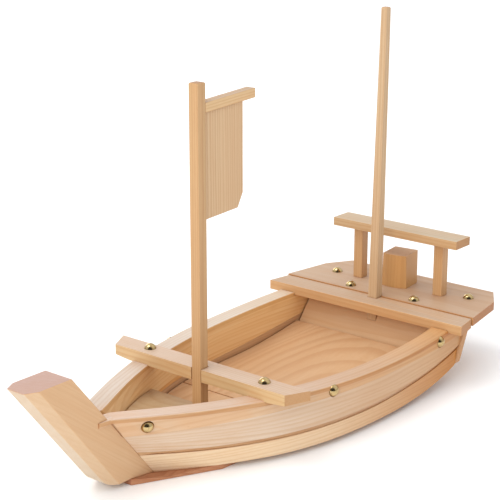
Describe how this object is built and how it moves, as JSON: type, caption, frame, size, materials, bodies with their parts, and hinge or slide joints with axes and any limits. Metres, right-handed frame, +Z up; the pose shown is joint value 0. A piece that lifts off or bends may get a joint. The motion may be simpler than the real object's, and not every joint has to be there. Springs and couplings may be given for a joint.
{
  "type": "sushi boat serving vessel",
  "caption": "Wooden boat-shaped serving vessel with two lift-out masts, sail board, stern deck and rail.",
  "frame": {"origin": "bottom centre of the whole object's bounding box, on the table under the base board", "axes": "+X from the bow to the stern, +Y to the boat's far (starboard-side in the picture) side, +Z up"},
  "size_m": [0.4364, 0.179, 0.2732],
  "materials": {
    "wood_hull": "satin",
    "wood_trim": "satin",
    "wood_pale": "satin",
    "wood_floor": "satin",
    "wood_mast": "satin",
    "brass_nail": "polished"
  },
  "bodies": {
    "hull": {"base_board": "wood_floor", "stem_post": "wood_trim", "lower_strake_near": "wood_hull", "lower_strake_far": "wood_hull", "upper_strake_near": "wood_hull", "upper_strake_far": "wood_hull", "gunwale_near": "wood_trim", "gunwale_far": "wood_trim", "transom": "wood_pale", "front_floor_board": "wood_floor", "main_floor_board": "wood_floor", "bow_deck": "wood_trim", "bow_deck_bearers": "wood_floor", "thwart": "wood_pale", "stern_beam": "wood_pale", "stern_deck": "wood_pale", "deck_ledger": "wood_floor", "deck_bearers": "wood_floor", "rail_post_near": "wood_trim", "rail_post_far": "wood_trim", "rail_crossbar": "wood_pale", "deck_block": "wood_trim", "front_mast_step": "wood_floor", "thwart_nails": "brass_nail", "deck_nails": "brass_nail", "side_nails_near": "brass_nail", "side_nails_far": "brass_nail"},
    "front_mast_with_sail": {"front_mast": "wood_mast", "yard": "wood_mast", "sail_board": "wood_mast"},
    "rear_mast": {"rear_mast": "wood_mast"}
  },
  "joints": [
    {"name": "front_mast_lift", "type": "slide", "parent": "hull", "child": "front_mast_with_sail", "axis": [0, 0, 1], "range_m": [0, 0.045]},
    {"name": "rear_mast_lift", "type": "slide", "parent": "hull", "child": "rear_mast", "axis": [0.0227, 0, 0.9997], "range_m": [0, 0.03]}
  ]
}
